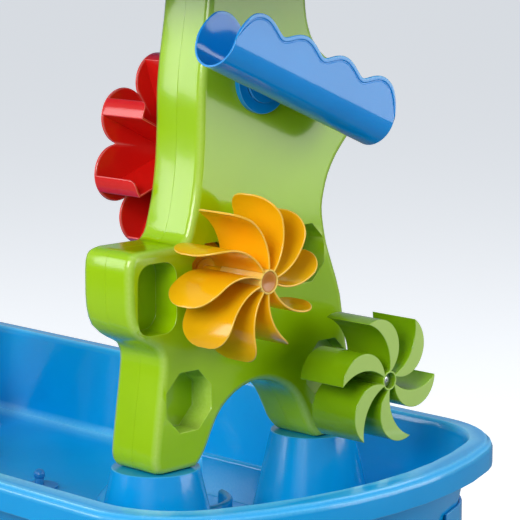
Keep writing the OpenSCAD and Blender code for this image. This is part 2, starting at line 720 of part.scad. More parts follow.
// One vane. Seen from the front it bends to the left along one arc. Seen from its side it is a
// petal with a large round at its tip, and it reaches further back than the hub.
vane_bend_share = 0.665;
vane_bend_r = orange_r * vane_bend_share;
vane_bend_a = 83.4;
vane_lean_a = -4.9;                         // its direction at the hub, from the radius
vane_phase = 53.5;
vane_d = orange_d + vane_tail;
tip_round_shares = [0.34, 0.45];            // the tip's front round, of the vane's length and depth
back_round_shares = [0.28, 0.38];           // and its rear round
petal_steps = 8;
// A point of the petal at shares of the vane's length and depth, seen square to its chord
function petal_pt(s, d) =
    [vane_bend_r * (sin(vane_bend_a * (s - 1 / 2)) + sin(vane_bend_a / 2)), d * vane_d];
petal_outline = concat([petal_pt(0, 1) - [hub_rim, 0]],
    [for (i = [0:petal_steps]) let (t = 90 * i / petal_steps)
        petal_pt(1 - tip_round_shares[0] * (1 - sin(t)), 1 - tip_round_shares[1] * (1 - cos(t)))],
    [for (i = [0:petal_steps]) let (t = 90 * i / petal_steps)
        petal_pt(1 - back_round_shares[0] * (1 - cos(t)), back_round_shares[1] * (1 - sin(t)))],
    [petal_pt(0, 0) - [hub_rim, 0]]);
module arc_strip(r, a, t) {
    intersection() {
        difference() {
            circle(r = r + t / 2, $fn = 128);
            circle(r = r - t / 2, $fn = 128);
        }
        rotate(-90) polygon([[0, 0], [2 * r, 0], 3 * r * [cos(a / 2), sin(a / 2)], 2 * r * [cos(a), sin(a)]]);
    }
}
module vane() {
    translate([hub_r - 3 * hub_rim / 4, vane_tail, 0]) rotate([90, -vane_lean_a, 0]) intersection() {
        linear_extrude(vane_d) translate([0, vane_bend_r])
            arc_strip(vane_bend_r, vane_bend_a + 2 * vane_t, vane_t);
        rotate([0, 0, vane_bend_a / 2]) rotate([90, 0, 0])
            linear_extrude(2 * vane_bend_r, center = true) polygon(petal_outline);
    }
}
module orange_wheel() {
    color(orange) at_orange() {
        translate([0, -orange_back, 0])
            for (i = [0:orange_vanes - 1]) rotate([0, -vane_phase - i * 360 / orange_vanes, 0]) vane();
        hub(orange_back, orange_d, hub_r, axle_r);
    }
}
module orange_mount() { color(orange) at_orange() wheel_mount(axle_r, orange_back, orange_d); }
module orange_screw() {
    color(steel) at_orange() translate([0, -axle_reach(orange_back, orange_d), 0])
        keeper(hub_r - hub_rim - side_gap, screw_in);
}
module hub_cap(back, depth, outer) {
    translate([0, -back - depth + cap_depth, 0]) rod_y(outer - hub_rim - run / 4, cap_t);
}
module orange_hub_cap() { color(orange) at_orange() hub_cap(orange_back, orange_d, hub_r); }

// Bucket of the green wheel: the crescent between two circles, hollow from the back
bucket_r_share = 0.45;
bucket_c_share = [0.55, 0];
hollow_r_share = 0.683;
hollow_c_share = [0.529, 0.492];
bucket_t = 2;
bucket_phase = -2.6;
module crescent(inset) {
    difference() {
        translate(green_r * bucket_c_share) circle(r = green_r * bucket_r_share - inset, $fn = 96);
        translate(green_r * hollow_c_share) circle(r = green_r * hollow_r_share + inset, $fn = 96);
    }
}
module bucket_ring(inset) {
    for (i = [0:green_buckets - 1]) rotate(bucket_phase + i * 360 / green_buckets) crescent(inset);
}
module green_wheel() {
    color(lime) at_green() difference() {
        union() {
            translate([0, -green_back, 0]) rotate([90, 0, 0]) difference() {
                linear_extrude(green_d) bucket_ring(0);
                translate([0, 0, -cut]) linear_extrude(green_d - bucket_t + cut) difference() {
                    bucket_ring(bucket_t);
                    circle(r = green_hub_r + bucket_t);
                }
            }
            translate([0, -green_back - green_d, 0]) rod_y(green_hub_r, green_d);
        }
        hub_hollows(green_back, green_d, green_hub_r, green_axle_r);
    }
}
module green_mount() { color(lime) at_green() wheel_mount(green_axle_r, green_back, green_d); }
module green_screw() {
    color(steel) at_green() translate([0, -axle_reach(green_back, green_d), 0])
        keeper(green_hub_r - hub_rim - side_gap, screw_in);
}

// Red wheel: a lobed disc on the outside, with a curled blade in each lobe
lobe_r_share = 0.278;
lobe_c_share = 0.721;
red_core_share = 0.69;
red_disc_t = 3;
blade_t = 2.2;
lip_a0 = -12;
lip_a1 = 24;
lobe_phase = 12.5;
module lobed_plan() {
    circle(r = red_r * red_core_share, $fn = 96);
    for (i = [0:red_cups - 1]) rotate(lobe_phase + i * 360 / red_cups)
        translate([red_r * lobe_c_share, 0]) circle(r = red_r * lobe_r_share, $fn = 96);
}
module blade_plan() {
    c = red_r * lobe_c_share;
    r = red_r * lobe_r_share;
    tip = [c + (r - blade_t / 2) * cos(lip_a1), (r - blade_t / 2) * sin(lip_a1)];
    translate([c, 0]) intersection() {
        difference() {
            circle(r = r, $fn = 96);
            circle(r = r - blade_t, $fn = 96);
        }
        polygon([[0, 0], 2 * r * [cos(lip_a0), sin(lip_a0)], 2 * r * [cos((lip_a0 + lip_a1) / 2),
            sin((lip_a0 + lip_a1) / 2)], 2 * r * [cos(lip_a1), sin(lip_a1)]]);
    }
    rotate(atan2(tip[1], tip[0])) translate([red_hub_r - hub_rim / 2, -blade_t / 2])
        square([norm(tip) - red_hub_r + hub_rim / 2, blade_t]);
}
module red_wheel() {
    color(red) at_red() {
        translate([0, -red_back, 0]) rotate([90, 0, 0]) {
            translate([0, 0, red_d - red_disc_t]) linear_extrude(red_disc_t) difference() {
                lobed_plan();
                circle(r = red_hub_r - hub_rim / 2);
            }
            for (i = [0:red_cups - 1]) rotate(lobe_phase + i * 360 / red_cups)
                linear_extrude(red_d - red_disc_t / 2) blade_plan();
        }
        hub(red_back, red_d, red_hub_r, axle_r);
    }
}
module red_mount() { color(red) at_red() wheel_mount(axle_r, red_back, red_d); }
module red_screw() {
    color(steel) at_red() translate([0, -axle_reach(red_back, red_d), 0])
        keeper(red_hub_r - hub_rim - side_gap, screw_in);
}
module red_hub_cap() { color(red) at_red() hub_cap(red_back, red_d, red_hub_r); }

// Each leg is held by two screws from below, through its plate into the tub's bosses
module leg_screws() {
    color(steel) at_leg_bosses() translate([0, 0, leg_top_z - leg_boss_h - leg_t])
        screw(leg_t + leg_boss_h - screw_r);
}

tub();
drain_plug();
leg_front_left();
leg_front_right();
leg_rear_left();
leg_rear_right();
leg_screws();
tower_front_shell();
tower_rear_shell();
tower_screws();
far_tower_front_shell();
far_tower_rear_shell();
far_tower_screws();
rain_tray();
chute();
chute_mount();
chute_screw();
orange_wheel();
orange_mount();
orange_screw();
orange_hub_cap();
green_wheel();
green_mount();
green_screw();
red_wheel();
red_mount();
red_screw();
red_hub_cap();
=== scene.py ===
import json
import math

import bmesh
import bpy
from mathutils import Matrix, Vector


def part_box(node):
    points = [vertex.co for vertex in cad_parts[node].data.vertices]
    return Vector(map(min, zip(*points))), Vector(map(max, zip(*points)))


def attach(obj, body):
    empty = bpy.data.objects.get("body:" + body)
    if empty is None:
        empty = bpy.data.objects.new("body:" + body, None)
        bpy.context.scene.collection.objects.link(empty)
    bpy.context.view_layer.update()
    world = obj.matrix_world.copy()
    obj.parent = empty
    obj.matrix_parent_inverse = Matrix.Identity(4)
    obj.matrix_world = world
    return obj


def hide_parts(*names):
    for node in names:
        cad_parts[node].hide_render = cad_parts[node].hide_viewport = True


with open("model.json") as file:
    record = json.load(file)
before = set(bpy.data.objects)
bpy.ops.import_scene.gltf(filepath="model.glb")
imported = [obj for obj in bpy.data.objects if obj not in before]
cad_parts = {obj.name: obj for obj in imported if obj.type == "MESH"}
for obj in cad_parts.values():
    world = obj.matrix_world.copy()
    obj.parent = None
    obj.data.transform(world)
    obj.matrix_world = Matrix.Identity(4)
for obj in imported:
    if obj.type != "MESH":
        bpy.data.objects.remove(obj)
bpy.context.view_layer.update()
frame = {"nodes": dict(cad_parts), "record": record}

cad_nodes = frame["nodes"]
body_of = {node: body for body, nodes in frame["record"]["behaviour"]["bodies"].items() for node in nodes}


# The tub is one shell of blue polypropylene with a rolled rim, two cone pedestals for each tower
# and low lane ridges in its floor. It is injection moulded, so its skin is smooth and glossy with
# faint flow marks, and fine scuffs dull it a little.
def linear(hex_colour):
    parts = [int(hex_colour[i:i + 2], 16) / 255 for i in (1, 3, 5)]
    return tuple(c / 12.92 if c <= 0.04045 else ((c + 0.055) / 1.055) ** 2.4 for c in parts) + (1.0,)


def add(tree, kind, settings=None, sockets=None, links=None):
    made = tree.nodes.new(kind)
    for name, value in (settings or {}).items():
        setattr(made, name, value)
    for name, value in (sockets or {}).items():
        made.inputs[name].default_value = value
    for name, (other, output) in (links or {}).items():
        tree.links.new(other.outputs[output], made.inputs[name])
    return made


FLOW_MARK_MM = 70.0        # how far apart the cloudy flow marks lie
WAVE_MM = 22.0             # sink marks and waves in the skin
SCUFF_MM = 3.0             # size of a fine scuff, drawn coarse enough to show
WEAR_AND_HIGHLIGHT_FROM, WEAR_AND_HIGHLIGHT_SPAN = 0.5, 0.4      # radians of turn at which an edge starts to take its paler tone, wear and painted highlight, and takes it full
EASED_DEG, FLAT_WEIGHT = 50, 80      # edges sharper than this get a round; weight of large faces
MERGE_MM, FLAT_DEG = 0.02, 1.5       # points this near are one; faces this level are one plane
LEVEL = 0.999                        # a face square to Y or Z by this much counts as flat
SEAM_MM = 2.0                        # neither wear nor painted highlight this near to a plane where two halves meet


def moulded_plastic(name, colour, shade, rim, gloss, glow=0.12):
    """Polypropylene with a polished-mould skin: colour in the light, shade in the flow marks, and rim
    along the rounded edges, where the wall is thin: a paler tone that is partly wear from handling and
    partly a painted highlight."""
    material = bpy.data.materials.new(name)
    material.use_nodes = True
    tree = material.node_tree
    surface = tree.nodes["Principled BSDF"]
    surface.inputs["IOR"].default_value = 1.49
    surface.inputs["Coat Weight"].default_value = 0.3
    surface.inputs["Coat Roughness"].default_value = 0.06
    surface.inputs["Subsurface Weight"].default_value = glow
    surface.inputs["Subsurface Radius"].default_value = (0.006, 0.006, 0.004)
    surface.inputs["Subsurface Scale"].default_value = 0.6
    place = add(tree, "ShaderNodeTexCoord")
    clouds = add(tree, "ShaderNodeTexNoise", sockets={"Scale": 1000 / FLOW_MARK_MM, "Detail": 3.0},
                 links={"Vector": (place, "Object")})
    tint = add(tree, "ShaderNodeMix", settings={"data_type": "RGBA"}, links={0: (clouds, "Fac")})
    tint.inputs[6].default_value = linear(shade)
    tint.inputs[7].default_value = linear(colour)
    scuffs = add(tree, "ShaderNodeTexNoise", sockets={"Scale": 1000 / SCUFF_MM, "Detail": 4.0,
                                                      "Roughness": 0.6},
                 links={"Vector": (place, "Object")})
    # The paler rim tone along sharp edges is partly wear and partly a painted highlight.
    edge = add(tree, "ShaderNodeAttribute", settings={"attribute_name": "edge"})
    edge_tone_share = add(tree, "ShaderNodeMapRange", sockets={"From Min": 0.2, "From Max": 0.8,
                                                      "To Min": 0.35, "To Max": 0.75},
                 links={"Value": (scuffs, "Fac")})
    worn_and_highlit = add(tree, "ShaderNodeMath", settings={"operation": "MULTIPLY"},
               links={0: (edge, "Fac"), 1: (edge_tone_share, "Result")})
    pale = add(tree, "ShaderNodeMix", settings={"data_type": "RGBA"},
               links={0: (worn_and_highlit, "Value"), 6: (tint, 2)})
    pale.inputs[7].default_value = linear(rim)
    tree.links.new(pale.outputs[2], surface.inputs["Base Color"])
    dull = add(tree, "ShaderNodeMapRange", sockets={"From Min": 0.35, "From Max": 0.75,
                                                    "To Min": gloss, "To Max": gloss + 0.06},
               links={"Value": (scuffs, "Fac")})
    tree.links.new(dull.outputs["Result"], surface.inputs["Roughness"])
    waves = add(tree, "ShaderNodeTexNoise", sockets={"Scale": 1000 / WAVE_MM, "Detail": 1.0},
                links={"Vector": (place, "Object")})
    skin = add(tree, "ShaderNodeBump", sockets={"Strength": 0.12, "Distance": 0.0005},
               links={"Height": (waves, "Fac")})
    tree.links.new(skin.outputs["Normal"], surface.inputs["Normal"])
    return material


def mark_edges(mesh):
    """Writes how sharply the surface turns at each point, for the paler edges in a material, partly wear
    and partly painted highlight.
    """
    form = bmesh.new()
    form.from_mesh(mesh)
    turn = [0.0] * len(form.verts)
    for seam in form.edges:
        if len(seam.link_faces) == 2:
            bend = seam.link_faces[0].normal.angle(seam.link_faces[1].normal, 0.0)
            for end in seam.verts:
                turn[end.index] = max(turn[end.index], bend)
    form.free()
    layer = mesh.attributes.new("edge", "FLOAT", "POINT")
    layer.data.foreach_set("value", [min(max((t - WEAR_AND_HIGHLIGHT_FROM) / WEAR_AND_HIGHLIGHT_SPAN, 0.0), 1.0) for t in turn])


def placed(piece, name):
    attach(piece, body_of[name])
    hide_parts(name)
    return piece


FACE_STRENGTH = "__mod_weightednormals_faceweight"     # the layer that the normals' modifier reads
STRONG = 16384


def moulded(name, mesh, ease_mm, material, wall_mm=0.0):
    """Gives a mesh its wall, eases its edges and keeps its flat faces flat in the light."""
    rough = bpy.data.objects.new(name + "_rough", mesh)
    bpy.context.scene.collection.objects.link(rough)
    if wall_mm:
        wall = rough.modifiers.new("wall", "SOLIDIFY")
        wall.thickness = wall_mm / 1000
        wall.offset = 0.0
        wall.use_even_offset = True
    ease = rough.modifiers.new("ease", "BEVEL")
    ease.width = ease_mm / 1000
    ease.segments = 2
    ease.limit_method = "ANGLE"
    ease.angle_limit = math.radians(EASED_DEG)
    ease.use_clamp_overlap = False
    flat = rough.modifiers.new("flat", "WEIGHTED_NORMAL")
    flat.keep_sharp = True
    flat.weight = FLAT_WEIGHT
    if FACE_STRENGTH in mesh.attributes:
        ease.face_strength_mode = "FSTR_NEW"
        flat.use_face_influence = True
    graph = bpy.context.evaluated_depsgraph_get()
    eased = bpy.data.meshes.new_from_object(rough.evaluated_get(graph), depsgraph=graph)
    bpy.data.objects.remove(rough)
    eased.materials.clear()
    eased.materials.append(material)
    mark_edges(eased)
    piece = bpy.data.objects.new(name + "_skin", eased)
    bpy.context.scene.collection.objects.link(piece)
    return piece


def dressed(name, ease_mm, material, smooth_a=38, flattened=True, fold_mm=0.01, seam_y=None):
    """The part as it leaves its mould: the node's mesh, merged, with its edges eased. Its level faces
    become one (flattened), or stay as they are and only shade as one, without folds under fold_mm."""
    mesh = cad_nodes[name].data.copy()
    form = bmesh.new()
    form.from_mesh(mesh)
    bmesh.ops.remove_doubles(form, verts=form.verts, dist=MERGE_MM / 1000)
    if flattened:
        bmesh.ops.dissolve_limit(form, angle_limit=math.radians(FLAT_DEG),
                                 verts=form.verts, edges=form.edges)
    else:
        bmesh.ops.dissolve_degenerate(form, dist=fold_mm / 1000, edges=form.edges)
        strength = form.faces.layers.int.new(FACE_STRENGTH)
        for face in form.faces:
            if max(abs(face.normal.y), abs(face.normal.z)) > LEVEL:
                face[strength] = STRONG
    for face in form.faces:
        face.smooth = True
    for seam in form.edges:
        bend = seam.calc_face_angle(0.0)
        seam.smooth = bend < math.radians(smooth_a)
    form.to_mesh(mesh)
    form.free()
    piece = moulded(name, mesh, ease_mm, material)
    # No paler edge tone, wear or painted highlight, along the plane where the halves meet.
    if seam_y is not None:
        for v, worn_and_highlit in zip(piece.data.vertices, piece.data.attributes["edge"].data):
            if abs(v.co.y - seam_y) < SEAM_MM / 1000:
                worn_and_highlit.value = 0.0
    return placed(piece, name)


blue_tub = moulded_plastic("blue_polypropylene_tub", "#00a4e6", "#0098dc", "#86dcfa", 0.16)
dressed("tub", 0.8, blue_tub)


# The drain plug is a flange with a knob, moulded in a softer grade of the same blue that seals,
# so its shine is duller.
soft_blue = moulded_plastic("soft_blue_plug", "#1584cc", "#0f76bc", "#5fb2e4", 0.4)
dressed("drain_plug", 0.5, soft_blue)

# Four legs stand under the tub's corners, hollow posts of the same blue. Each has a collar that
# rises outside the tub's wall, and two screws from below hold it.
for leg in ("leg_front_left", "leg_front_right", "leg_rear_left", "leg_rear_right"):
    dressed(leg, 0.8, blue_tub)


# The screws are pan-head screws of zinc-plated steel, bright and finely brushed by their plating,
# with rolled threads and a cross drive. Those at the axles and the spindle hold a washer.
def plated_steel():
    material = bpy.data.materials.new("zinc_plated_steel")
    material.use_nodes = True
    tree = material.node_tree
    surface = tree.nodes["Principled BSDF"]
    surface.inputs["Metallic"].default_value = 1.0
    surface.inputs["Base Color"].default_value = linear("#c9cdd2")
    place = add(tree, "ShaderNodeTexCoord")
    grain = add(tree, "ShaderNodeTexNoise", sockets={"Scale": 1400.0, "Detail": 4.0},
                links={"Vector": (place, "Object")})
    rough = add(tree, "ShaderNodeMapRange", sockets={"To Min": 0.22, "To Max": 0.42},
                links={"Value": (grain, "Fac")})
    tree.links.new(rough.outputs["Result"], surface.inputs["Roughness"])
    return material


steel = plated_steel()


def node_group(name, inputs):
    """An empty modifier group with named inputs; returns it and the socket identifiers."""
    tree = bpy.data.node_groups.new(name, "GeometryNodeTree")
    tree.is_modifier = True
    sockets = {}
    for label, kind in inputs.items():
        sockets[label] = tree.interface.new_socket(
            label, in_out="INPUT", socket_type="NodeSocket" + kind).identifier
    tree.interface.new_socket("Geometry", in_out="OUTPUT", socket_type="NodeSocketGeometry")
    return tree, sockets


def grown(name, mesh, tree, sockets, values):
    """Runs a node group on a mesh and returns what it made, as a plain object."""
    seed = bpy.data.objects.new(name + "_seed", mesh)
    bpy.context.scene.collection.objects.link(seed)
    rule = seed.modifiers.new("rule", "NODES")
    rule.node_group = tree
    for label, value in values.items():
        rule[sockets[label]] = value
    graph = bpy.context.evaluated_depsgraph_get()
    made = bpy.data.meshes.new_from_object(seed.evaluated_get(graph), depsgraph=graph)
    bpy.data.objects.remove(seed)
    piece = bpy.data.objects.new(name + "_grown", made)
    bpy.context.scene.collection.objects.link(piece)
    return piece


def loose_parts(mesh):
    """The separate solids of a mesh, each as its low and high corner."""
    form = bmesh.new()
    form.from_mesh(mesh)
    bmesh.ops.remove_doubles(form, verts=form.verts, dist=MERGE_MM / 1000)
    left, parts = set(form.verts), []
    while left:
        stack, found = [left.pop()], []
        while stack:
            here = stack.pop()
            found.append(here.co.copy())
            for seam in here.link_edges:
                other = seam.other_vert(here)
                if other in left:
                    left.remove(other)
                    stack.append(other)
        parts.append([[op(p[i] for p in found) for i in range(3)] for op in (min, max)])
    form.free()
    return sorted(parts)


def screw_mesh(length, head_r, head_h, shank_r, washer_r=0.0, washer_h=0.0):
    """One screw lying along +Z: threaded shank up to z = length, pan head below zero with a cross
    drive sunk into it, and a washer under the head where one is asked for."""
    form = bmesh.new()
    turns, pitch = 40, 1.5e-3
    a, b, recess_depth = head_r * 0.46, head_r * 0.12, head_h * 0.55     # reach and half width
    shank = [(0.0, length), (shank_r * 0.35, length - shank_r * 0.6)]
    steps = max(4, int((length - shank_r) / pitch))
    for k in range(steps):
        z = length - shank_r * 0.9 - k * pitch
        shank += [(shank_r * 0.86, z), (shank_r, z - pitch * 0.5)]
    neck = [(shank_r, max(washer_h, 0.0) + 1e-4)]
    if washer_r:
        neck += [(shank_r, washer_h), (washer_r - 2e-4, washer_h), (washer_r, washer_h - 2e-4),
                 (washer_r, 2e-4), (washer_r - 2e-4, 0.0)]
    head = [(head_r * 0.96, 0.0), (head_r, -head_h * 0.18), (head_r * 0.97, -head_h * 0.5),
            (head_r * 0.82, -head_h * 0.86), (head_r * 0.6, -head_h)]
    line = [form.verts.new((r, 0.0, z)) for r, z in shank + neck + head]
    seams = [form.edges.new(pair) for pair in zip(line, line[1:])]
    bmesh.ops.spin(form, geom=line + seams, axis=(0, 0, 1), cent=(0, 0, 0), angle=2 * math.pi,
                   steps=turns, use_duplicate=False, use_merge=True)
    bmesh.ops.remove_doubles(form, verts=form.verts, dist=1e-6)
    rim = [seam for seam in form.edges if len(seam.link_faces) == 1]
    cross = [(a, -b), (a, b), (b, b), (b, a), (-b, a), (-b, b), (-a, b), (-a, -b), (-b, -b), (-b, -a),
             (b, -a), (b, -b)]
    mouth = [form.verts.new((x, y, -head_h)) for x, y in cross]
    foot = [form.verts.new((x, y, recess_depth - head_h)) for x, y in cross]
    for k in range(len(cross)):
        form.faces.new((mouth[k - 1], mouth[k], foot[k], foot[k - 1]))
    for arm in ((0, 1, 2, 11), (2, 3, 4, 5), (5, 6, 7, 8), (8, 9, 10, 11), (2, 5, 8, 11)):
        form.faces.new([foot[k] for k in arm])
    rim += [form.edges.get((mouth[k - 1], mouth[k])) for k in range(len(cross))]
    bmesh.ops.triangle_fill(form, use_beauty=True, edges=rim)
    bmesh.ops.recalc_face_normals(form, faces=form.faces)
    for face in form.faces:
        face.smooth = True
    mesh = bpy.data.meshes.new("screw")
    form.to_mesh(mesh)
    form.free()
    mesh.set_sharp_from_angle(angle=math.radians(34))
    return mesh


screw_tree, screw_sockets = node_group("screws_on_points", {
    "Geometry": "Geometry", "Screw": "Object", "Seed": "Int", "Material": "Material"})
grab = add(screw_tree, "NodeGroupInput")
one = add(screw_tree, "GeometryNodeObjectInfo")
screw_tree.links.new(grab.outputs["Screw"], one.inputs["Object"])
heading = add(screw_tree, "GeometryNodeInputNamedAttribute", {"data_type": "FLOAT_VECTOR"},
              {"Name": "heading"})
lay = add(screw_tree, "FunctionNodeAlignRotationToVector", {"axis": "Z"},
          links={"Vector": (heading, "Attribute")})
spin = add(screw_tree, "FunctionNodeRandomValue", {"data_type": "FLOAT"})
spin.inputs[3].default_value = 6.28       # any turn of the drive, drawn from the seed
screw_tree.links.new(grab.outputs["Seed"], spin.inputs["Seed"])
twist = add(screw_tree, "FunctionNodeAxisAngleToRotation", links={"Angle": (spin, 1)})
turned = add(screw_tree, "FunctionNodeRotateRotation", {"rotation_space": "LOCAL"},
             links={"Rotation": (lay, "Rotation"), "Rotate By": (twist, "Rotation")})
spread = add(screw_tree, "GeometryNodeInstanceOnPoints",
             links={"Points": (grab, "Geometry"), "Instance": (one, "Geometry"),
                    "Rotation": (turned, "Rotation")})
real = add(screw_tree, "GeometryNodeRealizeInstances", links={"Geometry": (spread, "Instances")})
coat = add(screw_tree, "GeometryNodeSetMaterial",
           links={"Geometry": (real, "Geometry"), "Material": (grab, "Material")})
screw_tree.links.new(coat.outputs["Geometry"], add(screw_tree, "NodeGroupOutput").inputs["Geometry"])


def screws(name, groups):
    """Replaces a node's screws: groups lists (heading, head size, washer size, solids)."""
    pieces = []
    for heading_v, head, washer, parts in groups:
        axis = max(range(3), key=lambda i: abs(heading_v[i]))
        sign = 1 if heading_v[axis] > 0 else -1
        length = parts[0][1][axis] - parts[0][0][axis] - head[1]
        one_screw = bpy.data.objects.new("one_screw", screw_mesh(
            length, head[0], head[1], SHANK_R, *(washer or (0.0, 0.0))))
        bpy.context.scene.collection.objects.link(one_screw)
        spots = []
        for low, high in parts:
            spot = [(a + b) / 2 for a, b in zip(low, high)]
            spot[axis] = low[axis] + head[1] if sign > 0 else high[axis] - head[1]
            spots.append(spot)
        mesh = bpy.data.meshes.new(name + "_spots")
        mesh.from_pydata(spots, [], [])
        way = mesh.attributes.new("heading", "FLOAT_VECTOR", "POINT")
        for item in way.data:
            item.vector = heading_v
        pieces.append(grown(name, mesh, screw_tree, screw_sockets,
                            {"Screw": one_screw, "Seed": len(spots), "Material": steel}))
        bpy.data.objects.remove(one_screw)
    for piece in pieces:
        placed(piece, name)


PAN_HEAD = (0.004, 0.0025)      # radius and height
SHANK_R, WASHER_H = 0.002, 0.0015
screws("leg_screws", [((0, 0, 1), PAN_HEAD, None, loose_parts(cad_nodes["leg_screws"].data))])
for name, inward in (("tower_screws", -1), ("far_tower_screws", 1)):
    solids = loose_parts(cad_nodes[name].data)
    lying = [p for p in solids if p[1][1] - p[0][1] > p[1][2] - p[0][2]]
    standing = [p for p in solids if p not in lying]
    screws(name, [((0, inward, 0), PAN_HEAD, None, lying), ((0, 0, 1), PAN_HEAD, None, standing)])
for name, inward in (("chute_screw", -1), ("orange_screw", 1), ("green_screw", 1), ("red_screw", -1)):
    solids = loose_parts(cad_nodes[name].data)
    wide = (solids[0][1][0] - solids[0][0][0]) / 2
    screws(name, [((0, inward, 0), PAN_HEAD, (wide, WASHER_H), solids)])

# Each tower is two lime shells that meet at its middle plane, with octagonal sockets moulded in.
# They are injection moulded, so every edge has a small round and the meeting plane shows as a line.
lime = moulded_plastic("lime_polypropylene", "#a8d404", "#9ac800", "#d8f084", 0.15)
for name in ("tower_front_shell", "tower_rear_shell", "far_tower_front_shell",
             "far_tower_rear_shell"):
    ends_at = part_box(name)
    inner = ends_at[1][1] if ("far" in name) != ("front" in name) else ends_at[0][1]
    dressed(name, 0.4, lime, smooth_a=50, flattened=False, fold_mm=0.9, seam_y=inner)

# The rain tray rests on the towers' tops, a shallow box of the tub's blue with small holes in its
# floor. It is injection moulded in one piece and lies there by its own weight.
dressed("rain_tray", 0.3, blue_tub, flattened=False)

# The chute is a round-bottomed trough in a deeper blue, injection moulded with scalloped walls.
# A thicker lip runs along its edge, and it turns on a spindle behind its middle.
def solid_mesh(name, rings, closed_ends=True):
    """A skin through rings of points that all have the same count, each ring closed."""
    n = len(rings[0])
    faces = [(k * n + i, k * n + (i + 1) % n, (k + 1) * n + (i + 1) % n, (k + 1) * n + i)
             for k in range(len(rings) - 1) for i in range(n)]
    if closed_ends:
        half = n // 2
        for first in (0, (len(rings) - 1) * n):
            strip = [(first + i, first + i + 1, first + n - 2 - i, first + n - 1 - i)
                     for i in range(half - 1)]
            faces += strip if first else [tuple(reversed(f)) for f in strip]
    mesh = bpy.data.meshes.new(name)
    mesh.from_pydata([p for ring in rings for p in ring], [], faces)
    form = bmesh.new()
    form.from_mesh(mesh)
    bmesh.ops.recalc_face_normals(form, faces=form.faces)
    for face in form.faces:
        face.smooth = True
    form.to_mesh(mesh)
    form.free()
    mesh.set_sharp_from_angle(angle=math.radians(40))
    return mesh


def turned_mesh(name, profile, steps=72):
    """A solid turned round the Y axis from points (radius, y)."""
    form = bmesh.new()
    line = [form.verts.new((r, y, 0.0)) for r, y in profile]
    seams = [form.edges.new(pair) for pair in zip(line, line[1:])]
    bmesh.ops.spin(form, geom=line + seams, axis=(0, 1, 0), cent=(0, 0, 0), angle=2 * math.pi,
                   steps=steps, use_duplicate=False, use_merge=True)
    bmesh.ops.remove_doubles(form, verts=form.verts, dist=1e-6)
    bmesh.ops.recalc_face_normals(form, faces=form.faces)
    for face in form.faces:
        face.smooth = True
    mesh = bpy.data.meshes.new(name)
    form.to_mesh(mesh)
    form.free()
    mesh.set_sharp_from_angle(angle=math.radians(30))
    return mesh


def joined(name, meshes):
    """One mesh out of several."""
    form = bmesh.new()
    for mesh in meshes:
        form.from_mesh(mesh)
    whole = bpy.data.meshes.new(name)
    form.to_mesh(whole)
    form.free()
    return whole


def lifted(mesh, place, turn_y=0.0):
    c, t = math.cos(turn_y), math.sin(turn_y)
    for v in mesh.vertices:
        x, y, z = v.co
        v.co = (place[0] + x * c + z * t, place[1] + y, place[2] - x * t + z * c)
    return mesh


joint_at = {j["child"]: j.get("pos_m") for j in frame["record"]["behaviour"]["joints"]}
blue_chute = moulded_plastic("blue_polypropylene_chute", "#0098ea", "#008cdc", "#84d8fa", 0.12)
pivot = joint_at["trough"]
panel_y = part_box("tower_front_shell")[0][1]
CHUTE_L, CHUTE_R, CHUTE_T, SCALLOP_H, SCALLOP_DIP = 0.239, 0.027, 0.0025, 0.037, 0.011
END_SHARE, DIP_SOFT, BOTTOM_STEPS, WAVE_STEPS = 0.07, 0.07, 32, 200
trough_y = panel_y - 0.052
tilt = math.radians(22.5)


def scallop(s):
    """Height of the wall's top at a share of the length: four waves, round at both ends."""
    fall = 1.0
    near = min(s, 1 - s)
    if near < END_SHARE:
        fall = math.sqrt(max(0.0, 1 - (1 - near / END_SHARE) ** 2))
    wave, low = math.sin(4 * math.pi * s), math.sqrt(DIP_SOFT)
    dip = (math.sqrt(wave * wave + DIP_SOFT) - low) / (math.sqrt(1 + DIP_SOFT) - low)
    return CHUTE_T / 2 + fall * (SCALLOP_H - SCALLOP_DIP * (1 - dip) - CHUTE_T / 2)


def trough_ring(s):
    """The trough's section at one place: down the outside, round the bottom and up, then back.
    The lip is measured square to the scalloped edge, so it keeps its width along the waves."""
    x, top = (s - 0.5) * CHUTE_L, scallop(s)
    d = 0.0004
    run_x, run_z = 2 * d * CHUTE_L, scallop(min(s + d, 1.0)) - scallop(max(s - d, 0.0))
    size = math.hypot(run_x, run_z)
    steer = min(1.0, min(s, 1 - s) / 0.06)
    into = (run_z / size * steer, -run_x / size if steer == 1.0 else -max(run_x / size, 1 - steer * 0.5))
    scale = min(1.0, top / 0.012)

    def at(depth, u):
        return (x + into[0] * depth * scale, u, top + into[1] * depth * scale)
    groove, wall = CHUTE_R - 0.0011, CHUTE_R - 0.0004
    inner_r = CHUTE_R - CHUTE_T
    outside = [at(0.0, CHUTE_R - 0.0008), at(0.0007, CHUTE_R - 0.0001), at(0.0036, CHUTE_R),
               at(0.0041, CHUTE_R - 0.0001), at(0.0044, groove), at(0.0056, groove), at(0.0060, wall),
               at(0.0068, wall), (x, wall, top * 0.3)]
    turns = [math.pi * k / BOTTOM_STEPS for k in range(BOTTOM_STEPS + 1)]
    arc_out = [(x, wall * math.cos(a), -wall * math.sin(a)) for a in turns]
    inside = [at(0.0, inner_r + 0.0007), at(0.0006, inner_r), at(0.0036, inner_r), at(0.0041, inner_r),
              at(0.0044, inner_r), at(0.0056, inner_r), at(0.0060, inner_r), at(0.0068, inner_r),
              (x, inner_r, top * 0.2)]
    arc_in = [(x, inner_r * math.cos(a), -inner_r * math.sin(a)) for a in turns]
    outer = outside + arc_out + [(p[0], -p[1], p[2]) for p in reversed(outside)]
    inner = inside + arc_in + [(p[0], -p[1], p[2]) for p in reversed(inside)]
    return outer + inner[::-1]


